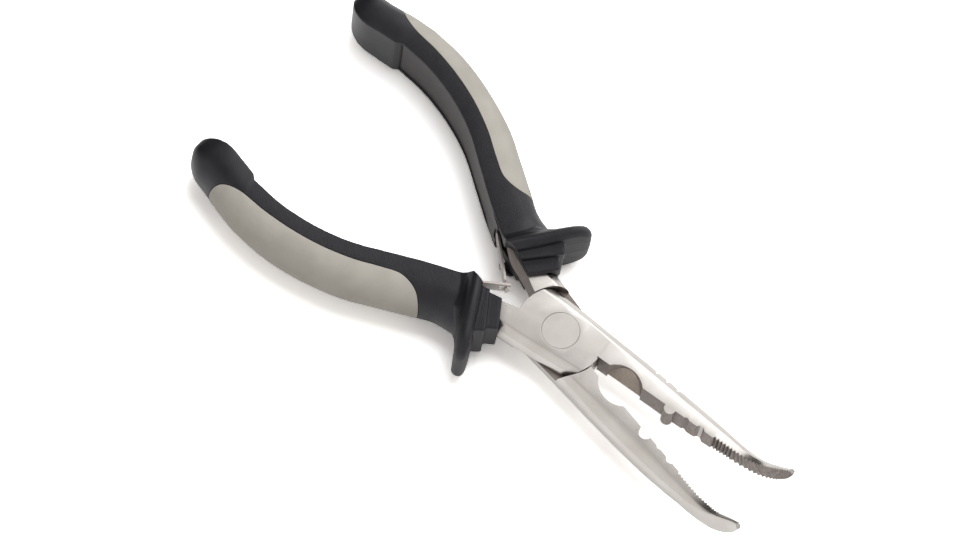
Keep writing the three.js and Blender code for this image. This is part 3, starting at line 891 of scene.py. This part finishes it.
def core_bar(grow, recess, mouth_recess):
    """The hard core as a bar, with its inner face recessed from the grip's, differently at the mouth."""
    rows = [r for r in stations(HANDLE, 64) if r[0][0] < CORE_FRONT_X + grow]
    loops = []
    for i, (p, q, h) in enumerate(rows):
        way = (q - p) / np.linalg.norm(q - p)
        shift = np.zeros(2)
        if i == 0:
            shift = rows[0][0] - rows[1][0]
            shift = shift / np.linalg.norm(shift) * grow
        at_mouth = min(max((p[0] - MOUTH_FROM_X) / MOUTH_LENGTH, 0), 1)
        depths = (recess + (mouth_recess - recess) * at_mouth, CORE_DEPTH + grow)
        a, b = (p + way * d + shift for d in depths)
        ta, tb = ((h - CORE_LIP) * (1 - CORE_TAPER * d / CORE_DEPTH) + grow for d in depths)
        loops.append([(a[0], a[1], -ta), (b[0], b[1], -tb), (b[0], b[1], tb), (a[0], a[1], ta)])
    return loft(loops, "core")


def leaf_box(lx, ly, lz):
    """A box in the leaf's own axes: x from the pin along the leaf, y out of the grip."""
    made = box(lx, ly, lz)
    turn = Matrix.Translation((PIN_AT[0], PIN_AT[1], 0)) @ Matrix.Rotation(math.radians(LEAF_DEG), 4, "Z")
    made.data.transform(turn)
    return made


def leaf_room():
    """The pocket for the leaf's eye and its swing."""
    h = LEAF_HALF_H + LEAF_ROOM
    return leaf_box(POCKET_ALONG, POCKET_ACROSS, (-h, h))


def grip_core():
    """The hard core with room for the leaf and the tang."""
    body = core_bar(0.0, CORE_RECESS, MOUTH_RECESS)
    cut(body, leaf_room())
    cut(body, tang_room())
    return body


def tang_opening():
    """The slot through which the tang leaves the sleeve on its inner side."""
    rows = [r for r in stations(TANG, 70) if OPENING_FROM_X < r[0][0] < 0]
    loops = []
    for p, q, _ in rows:
        way = (q - p) / np.linalg.norm(q - p)
        a = p - way * OPENING_IN
        b = q - way * OPENING_OUT
        t = HALF_T + TANG_GAP
        loops.append([(a[0], a[1], -t), (b[0], b[1], -t), (b[0], b[1], t), (a[0], a[1], t)])
    return loft(loops, "opening")


def grip_sleeve(body):
    """The moulding with room for the inlay, the core, the leaf and the tang."""
    pocket = cut(inlay_prism(GROOVE), handle(INLAY_T + 0.1))
    cut(body, pocket)
    cut(body, core_bar(GROOVE, CORE_ROOM, CORE_ROOM))
    cut(body, leaf_room())
    cut(body, tang_room())
    cut(body, tang_opening())
    cut(body, tang_side())
    return body


def grip_inlay():
    """The soft panel: the handle's skin on the outer side of the inlay's edge."""
    return cut(common(handle(), inlay_prism(0.0)), handle(INLAY_T))


# ---------------------------------------------------------------- materials


class Nodes:
    """A short way to build a material's node tree."""

    def __init__(self, name):
        self.material = bpy.data.materials.new(name)
        self.material.use_nodes = True
        self.tree = self.material.node_tree
        self.tree.nodes.clear()
        self.out = self.tree.nodes.new("ShaderNodeOutputMaterial")
        self.shader = self.tree.nodes.new("ShaderNodeBsdfPrincipled")
        self.link(self.shader.outputs[0], self.out.inputs[0])
        where = self.tree.nodes.new("ShaderNodeAttribute")
        where.attribute_name = "own_mm"
        self.own = where.outputs["Vector"]

    def link(self, a, b):
        """From the output a to the input b."""
        self.tree.links.new(a, b)

    def set(self, socket, value):
        """Gives an input a number, a colour or another node's output."""
        if isinstance(value, bpy.types.NodeSocket):
            self.link(value, socket)
        elif isinstance(value, tuple) and len(value) == 3 and socket.type == "RGBA":
            socket.default_value = (*value, 1)
        else:
            socket.default_value = value

    def stretch(self, scale):
        """The place with each axis scaled, so that a texture comes out as lines."""
        node = self.tree.nodes.new("ShaderNodeMapping")
        node.inputs["Scale"].default_value = scale
        self.link(self.own, node.inputs["Vector"])
        return node.outputs[0]

    def noise(self, vector, scale, detail=3.0, rough=0.5):
        """Soft random clouding. scale is in spots per millimetre."""
        node = self.tree.nodes.new("ShaderNodeTexNoise")
        node.inputs["Scale"].default_value = scale
        node.inputs["Detail"].default_value = detail
        node.inputs["Roughness"].default_value = rough
        self.link(vector, node.inputs["Vector"])
        return node.outputs["Fac"]

    def cells(self, vector, scale):
        """Small rounded grains."""
        node = self.tree.nodes.new("ShaderNodeTexVoronoi")
        node.inputs["Scale"].default_value = scale
        self.link(vector, node.inputs["Vector"])
        return node.outputs["Distance"]

    def ramp(self, value, stops):
        """A colour from (place, colour) stops."""
        node = self.tree.nodes.new("ShaderNodeValToRGB")
        self.link(value, node.inputs[0])
        ramp = node.color_ramp
        while len(ramp.elements) < len(stops):
            ramp.elements.new(0.5)
        for e, (at, colour) in zip(ramp.elements, stops):
            e.position = at
            e.color = (*colour, 1)
        return node.outputs["Color"]

    def math(self, operation, *values):
        """One sum on numbers or sockets."""
        node = self.tree.nodes.new("ShaderNodeMath")
        node.operation = operation
        for socket, value in zip(node.inputs, values):
            self.set(socket, value)
        return node.outputs[0]

    def scaled(self, value, gain, base):
        """value * gain + base"""
        return self.math("MULTIPLY_ADD", value, gain, base)

    def mix(self, factor, a, b, blend="MIX"):
        """Colour a turning into colour b, or into their product, as factor goes from 0 to 1."""
        node = self.tree.nodes.new("ShaderNodeMix")
        node.data_type = "RGBA"
        node.blend_type = blend
        colour_a, colour_b = (socket for socket in node.inputs if socket.type == "RGBA")
        self.set(node.inputs["Factor"], factor)
        self.set(colour_a, a)
        self.set(colour_b, b)
        return next(socket for socket in node.outputs if socket.type == "RGBA")

    def painted_shade(self, colour, reach, darkest=0.0):
        """Paints shade into a colour: darkens it in narrow places, where little light reaches. reach is in
        millimetres.
        """
        node = self.tree.nodes.new("ShaderNodeAmbientOcclusion")
        node.samples = 6
        node.inputs["Distance"].default_value = reach * MM
        return self.mix(1, colour, self.scaled(node.outputs["AO"], 1 - darkest, darkest), "MULTIPLY")

    def part(self, index):
        """One part of the place in the half's own axes: 0 along, 1 across, 2 up."""
        node = self.tree.nodes.new("ShaderNodeSeparateXYZ")
        self.link(self.own, node.inputs[0])
        return node.outputs[index]

    def span(self, value, from_a, from_b):
        """0 at from_a to 1 at from_b, smoothly."""
        node = self.tree.nodes.new("ShaderNodeMapRange")
        node.interpolation_type = "SMOOTHSTEP"
        self.link(value, node.inputs["Value"])
        node.inputs["From Min"].default_value = from_a
        node.inputs["From Max"].default_value = from_b
        return node.outputs[0]

    def normal(self, height, strength, distance, edge=0.0):
        """A bump over softly rounded edges. distance and edge are in millimetres."""
        node = self.tree.nodes.new("ShaderNodeBump")
        node.inputs["Strength"].default_value = strength
        node.inputs["Distance"].default_value = distance * MM
        self.link(height, node.inputs["Height"])
        if edge:
            bevel = self.tree.nodes.new("ShaderNodeBevel")
            bevel.samples = 6
            bevel.inputs["Radius"].default_value = edge * MM
            self.link(bevel.outputs[0], node.inputs["Normal"])
        self.link(node.outputs[0], self.shader.inputs["Normal"])

    def surface(self, colour, roughness, metallic=0.0, specular=0.5):
        """Finishes the material."""
        self.set(self.shader.inputs["Base Color"], colour)
        self.set(self.shader.inputs["Roughness"], roughness)
        self.set(self.shader.inputs["Metallic"], metallic)
        self.set(self.shader.inputs["Specular IOR Level"], specular)
        return self.material


def plated_steel():
    """Satin nickel plate with a trace of polishing lines and fine specks."""
    m = Nodes("plated_steel")
    lines = m.noise(m.stretch((0.5, 9, 9)), 1.0, 4.0)
    cloud = m.noise(m.own, 0.12, 2.0)
    specks = m.noise(m.own, 7.0, 2.0, 0.7)
    colour = m.ramp(cloud, [(0.3, (0.66, 0.63, 0.60)), (0.7, (0.75, 0.725, 0.70))])
    colour = m.mix(m.span(specks, 0.60, 0.72), colour, (0.50, 0.46, 0.43))
    m.normal(lines, 0.07, 0.03, 0.12)
    # painted shade: the plate's colour is darkened in narrow places
    return m.surface(m.painted_shade(colour, 2.0, 0.3), m.scaled(lines, 0.1, 0.2), 1.0)


def ground_steel():
    """Ground inner faces: darker, with upright grain on the bite and long grooves along the tang. On the
    joint's shoulder and lap faces its darker tone is partly painted shade.
    """
    m = Nodes("ground_steel")
    on_tang = m.span(m.part(0), -9.0, -10.0)
    fine = m.noise(m.stretch((0.12, 5, 5)), 1.6, 5.0, 0.6)
    upright = m.noise(m.stretch((4.5, 1, 0.25)), 1.6, 4.0, 0.6)
    lines = m.mix(on_tang, upright, fine)
    grooves = m.math("SINE", m.math("MULTIPLY", m.part(2), 2 * math.pi / GROOVE_PITCH))
    ridge = m.math("MULTIPLY", m.span(grooves, -0.9, -0.1), on_tang)
    height = m.math("ADD", m.math("MULTIPLY", ridge, 1.5), lines)
    colour = m.ramp(lines, [(0.3, (0.22, 0.188, 0.176)), (0.7, (0.46, 0.41, 0.385))])
    # pale on the grooves' ridges and dark in their valleys
    groove_tone = m.ramp(ridge, [(0.0, (0.15, 0.125, 0.115)), (1.0, (0.72, 0.64, 0.60))])
    colour = m.mix(m.math("MULTIPLY", on_tang, 0.75), colour, groove_tone)
    m.normal(height, 0.5, 0.1, 0.05)
    # painted shade: the ground colour is darkened in narrow places
    return m.surface(m.painted_shade(colour, 1.2, 0.25), m.scaled(lines, 0.2, 0.32), 1.0)


def rough_floor():
    """The coarse floor of the round relief, tinted brown."""
    m = Nodes("rough_floor")
    grit = m.noise(m.own, 8.0, 2.0, 0.6)
    stops = [(0.42, (0.12, 0.09, 0.075)), (0.5, (0.74, 0.64, 0.55)), (0.65, (1.0, 0.90, 0.80))]
    colour = m.ramp(grit, stops)
    m.normal(grit, 0.6, 0.1)
    return m.surface(colour, 0.6, 0.15)


def leaf_steel():
    """Bright spring steel. The CAD's leaves and pins have no own_mm, so they show its middle tone."""
    m = Nodes("spring_steel")
    lines = m.noise(m.own, 2.0, 4.0)
    colour = m.ramp(lines, [(0.3, (0.55, 0.50, 0.47)), (0.7, (0.82, 0.77, 0.73))])
    m.normal(lines, 0.1, 0.03, 0.08)
    return m.surface(colour, 0.28, 1.0)


def black_grip():
    """Moulded grip: fine grain that catches a bluish light, smoother on the butt and on the guard."""
    m = Nodes("black_grip")
    along, across, up = (m.part(k) for k in range(3))
    smooth_guard = m.math("MULTIPLY", m.span(along, -28, -25), m.span(along, -19.5, -21.5))
    smooth_butt = m.span(along, -79, -84)
    grained = m.math("SUBTRACT", 1.0, m.math("MAXIMUM", smooth_guard, smooth_butt))
    grain = m.cells(m.own, 3.0)
    speckle = m.noise(m.own, 4.0, 3.0, 0.6)
    height = m.math("MULTIPLY", m.math("ADD", grain, speckle), m.scaled(grained, 0.8, 0.2))
    cloud = m.noise(m.own, 0.3, 3.0)
    colour = m.ramp(cloud, [(0.3, (0.0065, 0.0065, 0.008)), (0.7, (0.0115, 0.0118, 0.0145))])
    m.normal(height, 0.75, 0.09, 0.25)
    m.set(m.shader.inputs["Specular Tint"], (0.92, 0.92, 1.0))
    at_tip = m.math("MULTIPLY", m.span(across, -16.5, -17.5), m.span(along, -31.0, -29.0))
    parting_line = m.math("MULTIPLY", at_tip, m.span(m.math("ABSOLUTE", up), 0.2, 0.08))
    # painted shade: the grip's colour is darkened in narrow places
    colour = m.mix(parting_line, m.painted_shade(colour, 1.5, 0.4), (0.001, 0.001, 0.001))
    return m.surface(colour, m.scaled(grained, 0.12, 0.32), 0.0, 0.52)


def black_core():
    """The harder inner wall, a little paler and smoother than the grip."""
    m = Nodes("black_core")
    cloud = m.noise(m.stretch((0.3, 1, 2)), 0.8, 3.0)
    colour = m.ramp(cloud, [(0.3, (0.020, 0.017, 0.018)), (0.7, (0.040, 0.035, 0.037))])
    m.normal(cloud, 0.1, 0.05, 0.15)
    return m.surface(colour, 0.36, 0.0, 0.5)


def grey_inlay():
    """Soft matte rubber with a very fine tooth."""
    m = Nodes("grey_inlay")
    grain = m.noise(m.own, 6.0, 3.0)
    cloud = m.noise(m.own, 0.2, 3.0)
    colour = m.ramp(cloud, [(0.3, (0.40, 0.38, 0.34)), (0.7, (0.45, 0.43, 0.387))])
    m.normal(grain, 0.25, 0.04, 0.3)
    return m.surface(colour, 0.62, 0.0, 0.35)


# ---------------------------------------------------------------- assembly

sleeve_source = grip_sleeve(grip_body())
inlay_source = grip_inlay()
core_source = grip_core()
plated = plated_steel()
forged = [plated, ground_steel(), rough_floor()]
spring_metal = leaf_steel()
sleeve_black = black_grip()
core_black = black_core()
inlay_grey = grey_inlay()


def finish_half(label, side):
    """The forging and the three grip pieces of one half, and the finish of its spring and pin."""
    body = label + "_half"
    piece = forging(side)
    paint_forging(piece)
    finish_piece(piece, "forging_" + label, side, body, "jaw_" + label, forged)
    grip_pieces = [
        (sleeve_source, "sleeve_", "grip_sleeve_", "black_grip", sleeve_black, ROUND_DEG, False),
        (inlay_source, "inlay_", "grip_inlay_", "grey_inlay", inlay_grey, ROUND_DEG, False),
        (core_source, "core_", "grip_core_", "black_core", core_black, CREASED_DEG, True),
    ]
    for source, name, node, slot, material, smooth_deg, weighted in grip_pieces:
        piece = duplicate(source)
        finish_piece(piece, name + label, side, body, node + label, [material], smooth_deg, weighted)
    for node in ("leaf_spring_" + label, "spring_pin_" + label):
        cad = frame["nodes"][node]
        cad.data.materials.clear()
        cad.data.materials.append(spring_metal)


finish_half("front", 1)
finish_half("back", -1)
for source in (sleeve_source, inlay_source, core_source):
    bpy.data.objects.remove(source)
finish_piece(pivot_rivet(), "rivet_faces", 1, "front_half", "pivot_rivet", [plated])

# ---------------------------------------------------------------- floor, light and camera

FLOOR_GAP = 0.2
FLOOR_REACH = 6.0
# the paper's tone by bounced light, and what mirrored and camera rays see added to it
FLOOR_TONE = 0.53
FLOOR_SHEEN = 0.38
FLOOR_GAIN = 1.35

# The view's own axes on the table: u to the right, v away from the viewer.
VIEW_TURN = math.radians(43.55)
TILT = math.radians(21.5)
SIDE = math.radians(11)
SENSOR = 36
LENS = 165.644
DISTANCE = 1084.86
ABOVE_JOINT = 0.2
# how far the middle of the view lies to the right of the joint's top, and above it
MIDDLE_RIGHT = -17.285
MIDDLE_UP = 13.308

# The sky's strength. It dims one way and fills in another, each over a span of the cosine to that way.
SKY = 0.62
DIM = 0.12
DIM_WAY = (-0.55, 0.8, 0.25)
DIM_SPAN = (0.45, 0.95)
FILL = 0.35
FILL_WAY = (-0.8, -0.55, 0.25)
FILL_SPAN = (0.6, 0.9)


def floor():
    """White paper, exposed so that only the close shadows show on it."""
    m = Nodes("paper_white")
    m.tree.nodes.remove(m.shader)
    paper = m.tree.nodes.new("ShaderNodeBsdfDiffuse")
    rays = m.tree.nodes.new("ShaderNodeLightPath").outputs
    mirrored = m.scaled(rays["Is Glossy Ray"], FLOOR_SHEEN, FLOOR_TONE)
    m.link(m.scaled(rays["Is Camera Ray"], FLOOR_GAIN, mirrored), paper.inputs["Color"])
    m.link(paper.outputs[0], m.out.inputs[0])
    mesh = bpy.data.meshes.new("floor")
    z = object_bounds()[0].z - FLOOR_GAP * MM
    sides = ((-1, -1), (1, -1), (1, 1), (-1, 1))
    mesh.from_pydata([(x * FLOOR_REACH, y * FLOOR_REACH, z) for x, y in sides], [], [(0, 1, 2, 3)])
    mesh.materials.append(m.material)
    made = bpy.data.objects.new("floor", mesh)
    bpy.context.scene.collection.objects.link(made)
    made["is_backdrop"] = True


def table_vector(u, v, z):
    """From the view's axes on the table to the row frame."""
    c = math.cos(VIEW_TURN)
    s = math.sin(VIEW_TURN)
    return Vector((u * c - v * s, u * s + v * c, z))


def softbox(name, at, size, power, mirrored=True):
    """A square light that faces the object. One that isn't mirrored leaves no highlight."""
    place_at = table_vector(*at)
    data = bpy.data.lights.new(name, "AREA")
    data.size = size
    data.energy = power
    made = bpy.data.objects.new(name, data)
    made.location = place_at
    made.rotation_mode = "QUATERNION"
    made.rotation_quaternion = (-place_at).to_track_quat("-Z", "Y")
    made.visible_glossy = mirrored
    bpy.context.scene.collection.objects.link(made)


def facing(tree, where, way):
    """How closely a direction of the sky faces this way."""
    node = tree.nodes.new("ShaderNodeVectorMath")
    node.operation = "DOT_PRODUCT"
    node.inputs[1].default_value = table_vector(*way).normalized()
    tree.links.new(where, node.inputs[0])
    return node.outputs["Value"]


def world():
    """A pale studio: dimmer towards the view's upper left, brighter low down on the near left."""
    scene_world = bpy.data.worlds.new("studio")
    bpy.context.scene.world = scene_world
    scene_world.use_nodes = True
    tree = scene_world.node_tree
    tree.nodes.clear()
    out = tree.nodes.new("ShaderNodeOutputWorld")
    back = tree.nodes.new("ShaderNodeBackground")
    where = tree.nodes.new("ShaderNodeTexCoord").outputs["Generated"]
    ramp = tree.nodes.new("ShaderNodeValToRGB")
    tree.links.new(facing(tree, where, DIM_WAY), ramp.inputs[0])
    bright, dim = ramp.color_ramp.elements
    bright.position = DIM_SPAN[0]
    bright.color = (1.0, 0.97, 0.94, 1)
    dim.position = DIM_SPAN[1]
    dim.color = (DIM, DIM * 0.95, DIM * 0.9, 1)
    tree.links.new(ramp.outputs[0], back.inputs[0])
    strength = tree.nodes.new("ShaderNodeMapRange")
    strength.interpolation_type = "SMOOTHSTEP"
    tree.links.new(facing(tree, where, FILL_WAY), strength.inputs["Value"])
    strength.inputs["From Min"].default_value = FILL_SPAN[0]
    strength.inputs["From Max"].default_value = FILL_SPAN[1]
    strength.inputs["To Min"].default_value = SKY
    strength.inputs["To Max"].default_value = SKY * (1 + FILL)
    tree.links.new(strength.outputs[0], back.inputs[1])
    tree.links.new(back.outputs[0], out.inputs[0])


def camera():
    """A long lens that looks down on the joint from in front and a little to the left."""
    aside = math.sin(TILT)
    toward = Vector((-math.sin(SIDE) * aside, -math.cos(SIDE) * aside, math.cos(TILT)))
    right = Vector((0, 1, 0)).cross(toward).normalized()
    up = toward.cross(right)
    joint_top = Vector((0, 0, MID_Z + HALF_T + ABOVE_JOINT))
    at = joint_top + toward * DISTANCE + right * MIDDLE_RIGHT + up * MIDDLE_UP
    axes = [table_vector(*axis) for axis in (right, up, toward)]
    data = bpy.data.cameras.new("camera")
    data.sensor_width = SENSOR
    data.lens = LENS
    data.clip_start = 0.05
    data.clip_end = 20
    made = bpy.data.objects.new("camera", data)
    made.matrix_world = Matrix.Translation(table_vector(*at) * MM) @ Matrix(axes).transposed().to_4x4()
    bpy.context.scene.collection.objects.link(made)
    bpy.context.scene.camera = made


floor()
world()
softbox("key", at=(0.57, 0.70, 0.72), size=1.3, power=6.2)
softbox("shadow_maker", at=(0.12, 0.20, 1.20), size=0.45, power=5.7, mirrored=False)
camera()
bpy.context.scene.view_settings.view_transform = "Standard"
